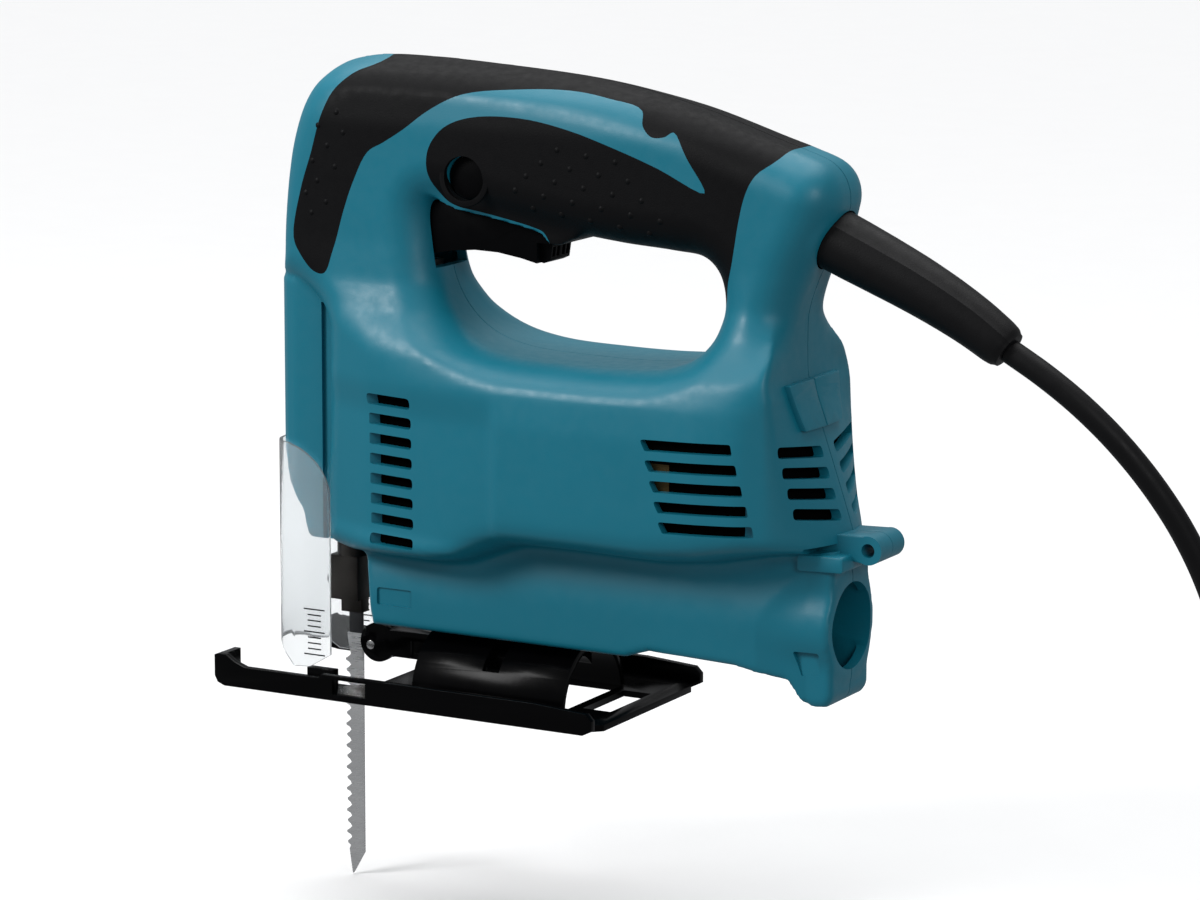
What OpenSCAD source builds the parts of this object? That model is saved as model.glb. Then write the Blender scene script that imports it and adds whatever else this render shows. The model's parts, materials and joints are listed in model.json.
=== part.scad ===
// Corded D-handle jigsaw: clamshell body, soft grips, tilting pressed shoe, reciprocating blade.
// X runs to the rear, Y to the far side, Z up. The blade line is at the origin and the sole at z = 0.
// All lengths are in millimetres.

/* [Body] */
// Half of the body's greatest width
body_half = 35; // [32:0.5:38]
// Half of the handle's width
grip_half = 17.5; // [15:0.5:20]
// Shell wall
wall = 3; // [2:0.2:4]
// Thickness of the soft overmould
soft = 1.5; // [1:0.1:2]

/* [Mechanism] */
// Height of the motor's axis
motor_z = 79.5; // [76:0.5:82]
// Teeth on the pinion
pinion_teeth = 8; // [8:1:10]
// Teeth on the drive gear
gear_teeth = 38; // [34:1:40]
// Distance between the two gear axes
gear_gap = 23; // [23:0.1:24]
// Blade stroke
stroke = 18; // [16:1:20]
// Radius of the armature shaft
shaft_r = 4; // [3:0.5:5]
// Radial running clearance
run = 0.06; // [0.02:0.01:0.1]

/* [Shoe] */
// Half of the shoe's width
shoe_half = 36; // [34:0.5:40]
// Front end of the shoe
shoe_front = -30; // [-34:0.5:-28]
// Rear end of the shoe
shoe_rear = 103.5; // [95:0.5:110]
// Sheet thickness
sheet = 2; // [1.6:0.1:2.5]
// Outer radius of the bevel arch
arch_r = 20; // [18:0.5:20]
// Half of the front opening's width
mouth_half = 23; // [22:0.5:24]

/* [Dust port] */
// Bore radius
port_r = 13.1; // [12:0.1:14]
// Outer radius
port_out = 16; // [15:0.5:17]
// Height of its axis
port_z = 34.6; // [33:0.2:36]

/* [Lead] */
// Lead diameter
lead_d = 7.3; // [6.8:0.1:8]
// Floor that the lead lies on, at the blade's tip
floor_z = -66; // [-70:1:-60]

/* [Hidden] */
$fn = 64;
gear_z = motor_z + gear_gap;
crank_r = stroke / 2;
plunger_x = -1;
port_end = 171;
// Hex key's tube: its place and half length.
key_x = 180;
key_z = 59.3;
key_half = 8;
post_half = 12.5;
cover_half = 13.5;
bolt_x = 58;
lead_r = lead_d / 2;
lead_z = floor_z + lead_r;

// Side view of the main shell, counter-clockwise, as [x, z].
body_outline = [
    [-1, 46], [6, 43.5], [24, 41.8], [42, 41.5], [52, 43], [60, 46.5], [70, 50], [90, 50.8],
    [120, 50.3], [135, 51.8], [150, 55], [160, 58.2], [168, 60.8], [171.6, 62.4], [168.1, 73],
    [164.2, 84.1], [161, 93], [157.6, 102], [156, 108.6], [155.8, 118], [156.2, 127],
    [160, 138.5], [169, 159], [168, 166], [164, 170.8], [154, 174.6], [146, 177],
    [120, 185], [86, 192], [52, 195.6], [30, 197], [14, 197], [5, 195.6], [-3, 192],
    [-11.5, 183.5], [-18, 170], [-21.5, 158], [-24, 145], [-25, 134], [-25, 122.5],
    [-13, 122], [-5, 118], [-1, 111]
];
// Finger loop, counter-clockwise.
loop_outline = [
    [34.5, 152], [34.5, 138], [36.5, 128], [42, 119], [50, 112.8], [62, 109.2], [84, 108],
    [108, 108.3], [121, 110], [128.5, 114], [132.5, 121], [133.3, 129], [131, 137], [126, 141.3],
    [116, 142.6], [100, 143.6], [84.7, 144.9], [79, 142.2], [75.4, 142.5], [72.7, 145.4],
    [61.7, 147.9], [52.3, 149.5], [43.3, 150.7], [38.4, 152.5]
];
// Half width in plan, as [x, half].
plan_half = [
    [-25, 5], [-22.5, 10], [-17, 14.5], [-8, 17.5], [0, 19.5], [8, 22.5], [20, 27], [36, 30.5],
    [60, 34], [90, body_half], [135, body_half], [148, 32], [158.5, 26.4], [163, 18], [167, 12],
    [172, 7]
];
// Half width seen from the front, as [z, half].
front_half = [
    [40, 14], [46, 16], [48, 18], [50, 23], [53, 28.5], [56.5, 32.5], [62, body_half],
    [90, body_half], [100, 33.4], [108, 30], [114, 25.5], [120, 21.5], [128, 18.6],
    [140, grip_half], [176, grip_half], [186, 16], [192, 13], [197.5, 7]
];
// How much lower the underside is towards the front, as [up to x, drop].
front_drop = [[50, 8], [58, 5], [66, 2], [200, 0]];
// Duct under the body, counter-clockwise.
foot_outline = [
    [11.5, 46], [11.5, 39], [15.5, 20.4], [104, 20.4], [112, 23], [141, 22], [157, 19],
    [161, 13], [165, 11.5], [169.5, 12], [171, 15], [171, 56], [120, 52], [60, 52], [40, 48]
];
// Recessed front post that the clear cover slides on, counter-clockwise.
post_outline = [
    [-22.4, 124], [-22.4, 73], [-19.5, 68], [-17.3, 60], [-12.4, 53], [-10.8, 46], [-9.5, 44.5],
    [2, 44.5], [2, 124]
];
// Soft overmould's area seen from the side, counter-clockwise; the bay leaves the bare crescent.
soft_outline = [
    [14, 205], [14.5, 194.5], [7, 190], [2, 184.5], [-2, 175.5], [-5, 166], [-9.5, 153.5],
    [-12.5, 139], [-9.5, 133.8], [-4.5, 129.2], [0, 129], [3, 136], [7, 149], [10.5, 158],
    [15.5, 167], [21, 170.2], [28, 174.5], [37, 181], [47.5, 186], [65, 188.2], [82, 188.6],
    [95, 187], [107, 184.2], [109, 180], [112.5, 177.2], [116.5, 177.4], [119, 178.8],
    [125, 171], [130.5, 162], [115, 168.2], [102, 172.7], [85, 177.6], [68, 180.2], [51, 179.4],
    [42, 175.8], [37, 169.5], [36.2, 163], [37.4, 157.5], [40, 153.8], [43.8, 151.8], [52.4, 150.5],
    [61.9, 148.9], [70.5, 147.1], [73.8, 145.8], [76.6, 141.5], [79.5, 138], [100, 138],
    [122, 136], [129, 128], [135.3, 129], [137, 135], [139.5, 142.6],
    [141.6, 154.5], [143.5, 162], [146.5, 168], [153, 174.6], [153, 205]
];

// Points of a counter-clockwise outline moved inwards by d.
function inset(p, d) = [
    for (i = [0:len(p) - 1])
        let (
            q = p[(i + len(p) - 1) % len(p)],
            r = p[(i + 1) % len(p)],
            a = (p[i] - q) / norm(p[i] - q),
            b = (r - p[i]) / norm(r - p[i]),
            n = [-a[1] - b[1], a[0] + b[0]]
        ) p[i] + n * d / (1 + a * b)
];

// A prism across the body, from a side-view outline.
module across(outline, y0, y1)
    translate([0, y1, 0]) rotate([90, 0, 0]) linear_extrude(y1 - y0) polygon(outline);

// A prism along Z from a list of half widths.
module plan_prism(d)
    translate([0, 0, -5]) linear_extrude(220)
        polygon(inset(concat(
            [for (v = plan_half) [v[0], -v[1]]],
            [for (i = [len(plan_half) - 1:-1:0]) [plan_half[i][0], plan_half[i][1]]]), d));

// A prism along X from a front-view outline of [y, z].
module lengthwise(outline, x0, x1)
    translate([x0, 0, 0]) rotate([90, 0, 90]) linear_extrude(x1 - x0) polygon(outline);

// The front-view outline from the list of half widths, with the underside lowered.
function front_outline(drop) =
    let (v = [for (q = front_half) [q[1], q[0] < 63 ? q[0] - drop : q[0]]])
        concat(v, [for (i = [len(v) - 1:-1:0]) [-v[i][0], v[i][1]]]);

// A prism along X from the half widths, in lengths with their own underside.
module front_prism(d)
    for (i = [0:len(front_drop) - 1])
        lengthwise(inset(front_outline(front_drop[i][1]), d),
                   i == 0 ? -40 : front_drop[i - 1][0] - (i > 0 ? d : 0), front_drop[i][0] - d);

// The main body's solid with its skin moved inwards by d.
module body_solid(d) {
    difference() {
        intersection() {
            across(inset(body_outline, d), -40, 40);
            plan_prism(d);
            front_prism(d);
        }
        across(inset(loop_outline, -d), -45, 45);
    }
}

// Half space on one side of the seam: side -1 is the near half, 1 the far half.
module half_space(side, low = -20, high = 210)
    translate([-60, side > 0 ? 0 : -60, low]) cube([260, 60, high - low]);

// A cylinder along X, Y, or the lead's exit.
module along_x(r, x0, x1, y = 0, z = 0)
    translate([x0, y, z]) rotate([0, 90, 0]) cylinder(r = r, h = x1 - x0);
module along_y(r, y0, y1, x, z)
    translate([x, y1, z]) rotate([90, 0, 0]) cylinder(r = r, h = y1 - y0);
module ring_x(r1, r0, x0, x1, z = motor_z)
    difference() {
        along_x(r1, x0, x1, 0, z);
        along_x(r0, x0 - 1, x1 + 1, 0, z);
    }

// The lead's exit: a frame whose Z points out of the collar, along the lead.
exit_pitch = 24;
exit_at = [164.5, 0, 148.75];
module at_exit() translate(exit_at) rotate([0, 90 + exit_pitch, 0]) children();

// Ribs across the body that hold the motor, as [x, thickness, hole radius].
ribs = [[63, 2, 19], [84, 2, 25], [106, 2, 25], [134, 2.5, 12]];
module body_ribs()
    for (b = ribs)
        difference() {
            translate([b[0], -40, 44]) cube([b[1], 80, 61]);
            along_x(b[2], b[0] - 1, b[0] + b[1] + 1, 0, motor_z);
        }

module body_cavity() {
    difference() {
        body_solid(wall);
        body_ribs();
        // screw bosses
        for (p = screw_places) along_y(4.6, -40, 40, p[0], p[1]);
        // posts that carry the switch
        for (x = [62, 80]) along_y(3, -40, -10, x, 168);
        for (x = [62, 80]) along_y(3, 10, 40, x, 168);
        // bosses that carry the trigger's pin
        along_y(3.6, 9.3, 40, trigger_at[0], trigger_at[1]);
        along_y(3.6, -40, -9.3, trigger_at[0], trigger_at[1]);
        // posts below the lead's clamp
        for (s = [-1, 1]) difference() {
            translate([144.5, s > 0 ? 4.2 : -20, 146]) cube([7, 15.8, 15.4]);
            translate([148, s * 6.6, 151]) cylinder(r = 1.4, h = 20);
        }
        // guide sleeve for the lock button
        along_y(8.8, -40, -8.5, button_at[0], button_at[1]);
    }
    // room inside the post
    intersection() {
        across(inset(post_outline, 2.2), -10.3, 10.3);
        translate([-24, -11, 40]) cube([27, 22, 82]);
    }
    translate([-8, -10.3, 60]) cube([13, 20.6, 68]);
}

button_at = [49, 161];
trigger_at = [73, 150];
screw_places = [[-12, 172], [40, 187], [140, 148], [150, 112], [37, 112], [148, 60], [69, 55]];

module post_solid()
    intersection() {
        across(post_outline, -post_half, post_half);
        translate([0, 0, 40]) linear_extrude(90)
            polygon([[-22.4, -5.5], [-20.8, -8.5], [-18.2, -11], [-14.5, -12.5], [3, -12.5],
                     [3, 12.5], [-14.5, 12.5], [-18.2, 11], [-20.8, 8.5], [-22.4, 5.5]]);
    }

module foot_solid() {
    intersection() {
        across(foot_outline, -18, 18);
        translate([0, 0, 5]) linear_extrude(53)
            polygon([[11.5, -13], [15, -17], [148, -17], [157, -14.5], [163, -13], [171, -13],
                     [171, 13], [163, 13], [157, 14.5], [148, 17], [15, 17], [11.5, 13]]);
        lengthwise([[-17, 5], [17, 5], [17, 37], [16, 43], [13.5, 50], [11.5, 57], [-11.5, 57],
                    [-13.5, 50], [-16, 43], [-17, 37]], 0, 180);
    }
    along_x(port_out, 141, port_end, 0, port_z);
    // tube for the hex key across the rear, on a short tongue
    along_y(4.3, -key_half, key_half, key_x, key_z);
    across([[164, 57], [key_x, key_z - 4.3], [key_x, key_z + 4.3], [164, 63]], -key_half, key_half);
}

module foot_cavity() {
    difference() {
        intersection() {
            across(inset(foot_outline, 2.6), -14.4, 14.4);
            lengthwise([[-14.4, 20], [14.4, 20], [14.4, 38], [13.2, 44], [-13.2, 44],
                        [-14.4, 38]], 5, 142);
        }
        // boss for the shoe's bolt
        translate([bolt_x, 0, 15]) cylinder(r = 7, h = 40);
    }
    along_x(port_r, 141, port_end + 1, 0, port_z);
    // suction mouth behind the blade
    translate([5, -12, 24]) cube([14, 24, 16]);
}

module vents() {
    // eight slots each side at the front
    for (i = [0:7], s = [-1, 1])
        translate([21 + 0.15 * (7 - i), s > 0 ? 18 : -40, 49 + 5.95 * i]) cube([14, 22, 3.4]);
    // five slanted slots each side over the motor's rear
    for (i = [0:4], s = [-1, 1])
        translate([119 + 1.5 * (4 - i), s > 0 ? 28 : -40, 63.5 + 6 * i]) rotate([0, -1.5, 0])
            cube([28, 12, 3.4]);
    // four slots each side of the seam at the rear, lower towards the seam
    for (i = [0:3], s = [-1, 1])
        let (z = 66.6 + 6.1 * i, y = 21.3 + 1.1 * i)
            lengthwise(s > 0 ? [[4, z], [y, z + 2.4], [y, z + 5.8], [4, z + 3.4]]
                             : [[-y, z + 2.4], [-4, z], [-4, z + 3.4], [-y, z + 5.8]], 150, 179);
}

module mechanism_cuts() {
    // blade clamp's well, open below
    translate([-9.5, -8.2, 38]) cube([16, 16.4, 28]);
    // notch for the clamp screw's head at the top of the stroke
    translate([-18, -5.2, 38]) cube([10.5, 10.4, 22]);
    // trigger's slot
    translate([29.3, -9.3, 135]) cube([48.2, 18.6, 24]);
    // shoe bolt and its nut
    translate([bolt_x, 0, 10]) cylinder(r = 2.6, h = 60);
    translate([bolt_x, 0, 47.5]) cylinder(r = 4.7, h = 10, $fn = 6);
    // holes for the trigger's pin
    along_y(1.5, -11, 11, trigger_at[0], trigger_at[1]);
    // lead guard's neck
    at_exit() translate([0, 0, -10]) cylinder(r = 6.6, h = 30);
    // hex key's bore
    along_y(2.1, -13, 13, key_x, key_z);
    // moulded recess low on each side
    for (s = [-1, 1]) translate([17.5, s * 17 - 0.8, 27]) cube([12.5, 1.6, 5.5]);
}

// Recess and guide hole for the lock button, on the near side only.
module button_hole() {
    along_y(6.8, -40, -8, button_at[0], button_at[1]);
}

module soft_prism(side) intersection() {
    across(soft_outline, -45, 45);
    half_space(side);
}

// Shell: the body without the skin that the overmould takes, hollow, with its openings.
module shell(side) {
    difference() {
        union() {
            body_solid(0);
            post_solid();
            foot_solid();
            // raised pad across the rear, above the vents
            intersection() {
                body_solid(-1.7);
                lengthwise([[-12.5, 93.6], [12.5, 93.6], [16.5, 107.3], [-16.5, 107.3]], 148, 180);
            }
            // collar round the lead's guard
            at_exit() translate([0, 0, -8]) cylinder(r = 11.8, h = 7.4);
        }
        half_space(-side);
        body_cavity();
        foot_cavity();
        vents();
        mechanism_cuts();
        difference() {
            soft_prism(side);
            body_solid(soft);
        }
        if (side < 0) button_hole();
        // screw holes, with a head recess on the far side
        for (p = screw_places) {
            along_y(1.7, -10, 40, p[0], p[1]);
            if (side > 0) along_y(3.7, screw_head(p), 40, p[0], p[1]);
        }
    }
}

// Where a housing screw's head sits, from the seam.
function screw_head(p) = p[1] > 125 ? 12 : 20;

module soft_shell(side) {
    difference() {
        intersection() {
            body_solid(0);
            soft_prism(side);
        }
        body_solid(soft);
        mechanism_cuts();
        if (side < 0) button_hole();
        if (side > 0) for (p = screw_places) along_y(3.7, 5, 40, p[0], p[1]);
    }
}

module housing_left() color("teal") shell(-1);
module housing_right() color("teal") shell(1);
module grip_left() color("dimgray") soft_shell(-1);
module grip_right() color("dimgray") soft_shell(1);

module housing_screws() color("silver")
    for (p = screw_places) {
        along_y(1.7, -8, screw_head(p) + 0.5, p[0], p[1]);
        difference() {
            along_y(3.4, screw_head(p), screw_head(p) + 2.4, p[0], p[1]);
            along_y(1.2, screw_head(p) + 1, screw_head(p) + 3, p[0], p[1]);
        }
    }

// ---- controls ----
module trigger() color("black")
    difference() {
        across([[30.5, 151.5], [30.8, 137], [33, 136.2], [40, 137.6], [48, 138.4], [56, 138.2],
                [64, 137], [70.3, 135.6], [72.5, 136.6], [73.2, 141.5], [77, 147], [76.8, 150],
                [75, 153.6], [70, 154.4],
                [60, 153], [46, 153.5]], -8.8, 8.8);
        along_y(1.56, -10, 10, trigger_at[0], trigger_at[1]);
        // narrower rear end with notches in it
        for (s = [-1, 1]) translate([69.5, s * 8 - 2, 134]) cube([6, 4, 8]);
        for (y = [-5, -2.4, 0.8, 3.4]) translate([71.4, y, 137.6]) cube([3, 1.6, 3]);
    }
module trigger_pin() color("silver") along_y(1.5, -11, 11, trigger_at[0], trigger_at[1]);
module lock_button() color("black") {
    along_y(6.5, -14.5, -12, button_at[0], button_at[1]);
    along_y(2.2, -12, -5, button_at[0], button_at[1]);
}
module switch_body() color("slategray")
    difference() {
        translate([57.5, -10, 157]) cube([30, 20, 20]);
        translate([60, -8, 170]) cube([25, 16, 8]);
        translate([84, -6, 171]) cube([5, 12, 8]);
    }
module wire_leads() color("saddlebrown")
    for (s = [-1, 1]) tube([[86.5, s * 4, 174], [96, s * 5, 177], [112, s * 5, 176],
        [126, s * 4.6, 172.5], [135.6, s * 3.4, 165.9], [143.7, s * 2.2, 158.1]], 1.3, 8);

// ---- drive train ----
// A spur gear's outline, as points.
function gear_points(n, root, tip, base_w, tip_w) = [
    for (i = [0:n - 1])
        let (a = i * 360 / n, wb = base_w / 2 / root * 57.3, wt = tip_w / 2 / tip * 57.3)
            for (v = [[root, -wb], [tip, -wt], [tip, wt], [root, wb]])
                [v[0] * cos(a + v[1]), v[0] * sin(a + v[1])]
];
// A gear across X with one tooth pointing up, turned by a.
module gear_x(n, root, tip, base_w, tip_w, x0, x1, z, a = 0)
    translate([x0, 0, z]) rotate([90, 0, 90]) rotate([0, 0, 90 + a])
        linear_extrude(x1 - x0) polygon(gear_points(n, root, tip, base_w, tip_w));

module gear_housing() color("gainsboro")
    difference() {
        union() {
            translate([21, -20, 63]) cube([5, 40, 53]);
            translate([21, -9.5, 63]) cube([5, 19, 69]);
            along_x(14, 26, 34, 0, motor_z);
            translate([-9, -9.5, 65]) cube([35, 19, 6]);
            translate([-9, -9.5, 125]) cube([35, 19, 7]);
        }
        along_x(11, 27, 35, 0, motor_z);
        along_x(5, 20, 28, 0, motor_z);
        along_x(4, 20, 27, 0, gear_z);
        translate([plunger_x, 0, 60]) cylinder(r = 6.5, h = 80);
    }
module gear_pin() color("silver") along_x(4, 11, 26, 0, gear_z);
module drive_gear() color("goldenrod")
    difference() {
        gear_x(gear_teeth, 18, 19.8, 1.9, 0.75, 12, 19, gear_z, 180 / gear_teeth);
        along_x(4 + run, 11, 20, 0, gear_z);
        along_x(2.5, 11, 20, 0, gear_z - crank_r);
        for (a = [60, 180, 300])
            along_x(3, 11, 20, 11 * sin(a), gear_z - 11 * cos(a));
    }
module crank_pin() color("silver") {
    along_x(2.5, 12, 19, 0, gear_z - crank_r);
    along_x(3.2, 9.2, 12, 0, gear_z - crank_r);
}
module plunger() color("silver")
    difference() {
        union() {
            translate([plunger_x, 0, 43]) cylinder(r = 4.5, h = 92);
            translate([2.4, -15.2, gear_z - crank_r - 7]) cube([6.2, 30.4, 14]);
        }
        translate([5.5, -12.6, gear_z - crank_r - 3.3]) cube([10, 25.2, 6.6]);
    }
module plunger_bushes() color("darkgoldenrod")
    for (z = [65, 125])
        translate([plunger_x, 0, z]) difference() {
            cylinder(r = 6.5, h = z < 100 ? 6 : 7);
            translate([0, 0, -1]) cylinder(r = 4.5 + run, h = 9);
        }
module plunger_seal() color("dimgray")
    translate([plunger_x, 0, 71]) difference() {
        cylinder(r = 7.5, h = 2.4);
        translate([0, 0, -1]) cylinder(r = 4.5 + 0.1, h = 5);
    }
module pinion() color("silver")
    difference() {
        gear_x(pinion_teeth, 2.9, 4.8, 1.5, 0.6, 12, 19.5, motor_z);
        along_x(1.5, 11, 20, 0, motor_z);
    }
module armature_shaft() color("silver") {
    along_x(1.5, 12, 19.5, 0, motor_z);
    along_x(shaft_r, 19.5, 141.5, 0, motor_z);
}
module front_bearing() color("lightgray") ring_x(11, shaft_r + run, 27, 34);
module rear_bearing() color("lightgray") ring_x(9.5, shaft_r + run, 134, 140);
module bearing_holder() color("black") {
    ring_x(12, 9.5, 134, 140);
    ring_x(12, 5, 140, 142.5);
}
module fan() color("white") {
    ring_x(8, shaft_r, 45, 58);
    ring_x(23.5, 7, 57, 58.6);
    intersection() {
        for (i = [0:10]) translate([0, 0, motor_z]) rotate([i * 360 / 11, 0, 0])
            translate([46, -0.7, 7]) cube([11.5, 1.4, 17]);
        along_x(23.5, 40, 60, 0, motor_z);
    }
}
module armature_core() color("gray") ring_x(14, shaft_r, 80, 112);
module armature_windings() color("orangered") {
    ring_x(12.5, shaft_r, 73, 80);
    ring_x(12.5, shaft_r, 112, 117);
}
module commutator() color("peru")
    difference() {
        ring_x(9.5, shaft_r, 117, 128);
        for (i = [0:11]) translate([0, 0, motor_z]) rotate([i * 30, 0, 0])
            translate([116, -0.3, 9]) cube([13, 0.6, 3]);
    }
module stator_core() color("dimgray")
    difference() {
        ring_x(25, 14.8, 80, 112);
        for (s = [-1, 1]) translate([79, -9, motor_z + s * 18 - 2.5]) cube([34, 18, 5]);
    }
module stator_windings() color("orangered") {
    for (s = [-1, 1]) translate([74, -9, motor_z + s * 18 - 2.5]) cube([44, 18, 5]);
}
module brush_holders() color("darkgoldenrod")
    for (s = [-1, 1]) difference() {
        translate([118.5, s > 0 ? 11 : -31, motor_z - 4]) cube([8, 20, 8]);
        translate([119.5, s > 0 ? 10 : -30, motor_z - 3]) cube([6, 20, 6]);
    }
module brush(s) translate([119.5, s > 0 ? 9.8 : -22.8, motor_z - 3]) cube([6, 13, 6]);
module brush_left() color("black") brush(-1);
module brush_right() color("black") brush(1);

// ---- blade end ----
module blade_clamp() color("dimgray")
    difference() {
        union() {
            translate([-7.2, -5.2, 24]) cube([10.4, 10.4, 14]);
            translate([plunger_x, 0, 38]) cylinder(r = 5.4, h = 5);
            translate([-4.7, -2.2, 19.6]) cube([7.4, 4.4, 4.4]);
        }
        translate([-3.6, -0.65, 18]) cube([5, 1.3, 17]);
        along_x(2, -8, -3.5, 0, 30);
    }
module clamp_screw() color("black") {
    along_x(2 - run, -8.2, -4.4, 0, 30);
    difference() {
        along_x(3.4, -11, -7.4, 0, 30);
        translate([-12, 0, 30]) rotate([0, 90, 0]) cylinder(r = 1.6, h = 2.6, $fn = 6);
    }
}
// Blade: a flat strip with saw teeth facing forward and a slanted tip.
tooth = 3.5;
blade_teeth = 18;
module blade() color("lightsteelblue")
    across(concat(
        [[-3.5, 35], [-3.5, 11.5], [-3.2, 9.5]],
        [for (i = [0:blade_teeth - 1]) for (v = [[-2.4, 0.4], [-4.2, 1.9], [-4, 2.5]])
            [v[0], 6 - i * tooth - v[1]]],
        [[-3.4, -57.8], [-2.2, -65.7], [2, -58.4], [2, 9.5], [1.3, 11.5], [1.3, 35]]), -0.6, 0.6);

module guide_roller() color("silver")
    difference() {
        along_y(5, -2.2, 2.2, 7.3, 10.5);
        along_y(1.5 + run, -3, 3, 7.3, 10.5);
    }
module roller_pin() color("silver") along_y(1.5, -4.6, 4.6, 7.3, 10.5);
module retainer() color("black")
    difference() {
        union() {
            intersection() {
                ring_x(arch_r - 2.7, arch_r - 5.7, 40, 78, 0);
                translate([38, -10.5, 5]) cube([42, 21, 20]);
            }
            translate([12, -4.6, 13.4]) cube([32, 9.2, 2.6]);
            for (s = [-1, 1]) {
                along_y(6.2, s > 0 ? 2.6 : -4.6, s > 0 ? 4.6 : -2.6, 10, 11.6);
                translate([12, s > 0 ? 2.6 : -4.6, 8]) cube([10, 2, 7]);
            }
        }
        along_y(1.5, -6, 6, 7.3, 10.5);
        translate([bolt_x, 0, 5]) cylinder(r = 2.6, h = 20);
        translate([-2, -6, 0]) cube([5, 12, 20]);
    }
module base_bolt() color("silver") {
    translate([bolt_x, 0, 13.5]) cylinder(r = 2.5, h = 39.5);
    difference() {
        translate([bolt_x, 0, 8.6]) cylinder(r = 4.2, h = 5);
        translate([bolt_x, 0, 8]) cylinder(r = 2.3, h = 3.2, $fn = 6);
    }
}
module base_nut() color("silver")
    difference() {
        translate([bolt_x, 0, 48.2]) cylinder(r = 4.6, h = 4, $fn = 6);
        translate([bolt_x, 0, 47]) cylinder(r = 2.5, h = 8);
    }

// ---- shoe ----
// Where the slot for the bolt ends, just beyond 45 degrees on the arch.
bolt_reach = [20.6, 12.2];
flange_outline = [
    [-26.5, 0], [100.5, 0], [103.5, 1.5], [103.5, 4.6], [101.5, 6.6], [84, 7.8], [9, 7.8],
    [8, 6.6], [-19, 6.6], [-23, 8], [-26, 10], [-29, 10], [-30, 9], [-30, 3], [-29, 1]
];
module base_plate() color("black")
    difference() {
        union() {
            // sole
            linear_extrude(sheet) polygon([
                [shoe_front + 3.5, -shoe_half], [shoe_rear - 8, -shoe_half],
                [shoe_rear, -shoe_half + 8], [shoe_rear, shoe_half - 8],
                [shoe_rear - 8, shoe_half], [shoe_front + 3.5, shoe_half]]);
            for (s = [-1, 1]) {
                // side flange and curled front end
                across(flange_outline, s > 0 ? shoe_half - 2.3 : -shoe_half,
                       s > 0 ? shoe_half : -shoe_half + 2.3);
                across([[-26.5, 0], [-20, 0], [-20, 2], [-26, 2], [-27.8, 3.8], [-27.8, 9.6],
                        [-30, 9.6], [-30, 3], [-29, 1]],
                       s > 0 ? mouth_half + 1.5 : -shoe_half,
                       s > 0 ? shoe_half : -mouth_half - 1.5);
                // pressed tabs that guide the fence bar
                translate([0.5, s > 0 ? 27.5 : -30.5, 0]) cube([9.5, 3, 8]);
            }
            // bevel arch
            ring_x(arch_r, arch_r - 2.3, 31.6, 84.4, 0);
        }
        // below the sole
        translate([-50, -50, -50]) cube([200, 100, 50]);
        // blade opening
        linear_extrude(10, center = true) polygon([
            [-60, -mouth_half - 1.5], [-26, -mouth_half - 1.5], [-22, -mouth_half],
            [12, -mouth_half], [18, -mouth_half + 5], [18, mouth_half - 5], [12, mouth_half],
            [-22, mouth_half], [-26, mouth_half + 1.5], [-60, mouth_half + 1.5]]);
        // window below the arch and behind it
        translate([31.5, -arch_r + 2.3, -1]) cube([53, 2 * (arch_r - 2.3), 3.2]);
        translate([88, -13, -1]) cube([9.5, 26, 6]);
        // the bolt's slot round the arch
        lengthwise([[0, 2], [bolt_reach[0], bolt_reach[1]], [18, 24], [-18, 24],
                    [-bolt_reach[0], bolt_reach[1]]], bolt_x - 2.9, bolt_x + 2.9);
        // fence slots
        for (s = [-1, 1]) translate([13, s > 0 ? 33 : -37, 2]) cube([11.8, 4, 4.6]);
    }

// Clear cover: a channel that slides on the post, with its lower edge cut to a point.
module chip_cover() color("lightcyan", 0.5)
    difference() {
        translate([0, 0, 3]) linear_extrude(69) difference() {
            polygon(cover_plan(0));
            polygon(cover_plan(1.3));
            translate([-1.4, -20]) square([10, 40]);
        }
        // slanted lower corner and rounded upper corner, seen from the side
        across([[-30, 0], [-30, 13.5], [-26.6, 13], [-15, 3.2], [-9, 3.5], [0.5, 9.2], [1, 0]],
               -20, 20);
        across([[-9, 75], [-9, 72], [-6.5, 70.2], [-4, 67.5], [-2, 64.2], [0, 59], [2, 59],
                [2, 75]], -20, 20);
    }
function cover_plan(d) = [
    [4, -cover_half - 0.9 + d], [-14.6, -cover_half - 0.9 + d], [-20, -12 + d * 0.92],
    [-23.4 + d * 0.7, -8 + d * 0.6], [-24.7 + d, -3.4], [-24.7 + d, 3.4],
    [-23.4 + d * 0.7, 8 - d * 0.6], [-20, 12 - d * 0.92], [-14.6, cover_half + 0.9 - d],
    [4, cover_half + 0.9 - d]
];

// ---- lead ----
// A tube along points p. r is one radius or one per point.
function tube_dirs(p) = [
    for (i = [0:len(p) - 1])
        let (v = i == 0 ? p[1] - p[0] : i == len(p) - 1 ? p[i] - p[i - 1] : p[i + 1] - p[i - 1])
            v / norm(v)
];
function radius_at(r, i) = is_list(r) ? r[i] : r;
module tube(p, r, sides) {
    t = tube_dirs(p);
    rings = [
        for (i = [0:len(p) - 1])
            let (u = cross([0, 1, 0], t[i]), a = u / norm(u), b = cross(t[i], a))
                for (k = [0:sides - 1])
                    p[i] + radius_at(r, i) * (a * cos(k * 360 / sides) + b * sin(k * 360 / sides))
    ];
    n = len(p);
    polyhedron(rings, concat(
        [[for (k = [0:sides - 1]) k]],
        [[for (k = [sides - 1:-1:0]) (n - 1) * sides + k]],
        [for (i = [0:n - 2], k = [0:sides - 1]) let (m = (k + 1) % sides)
            for (f = [[i * sides + k, (i + 1) * sides + k, (i + 1) * sides + m],
                      [i * sides + k, (i + 1) * sides + m, i * sides + m]]) f]));
}

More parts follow.
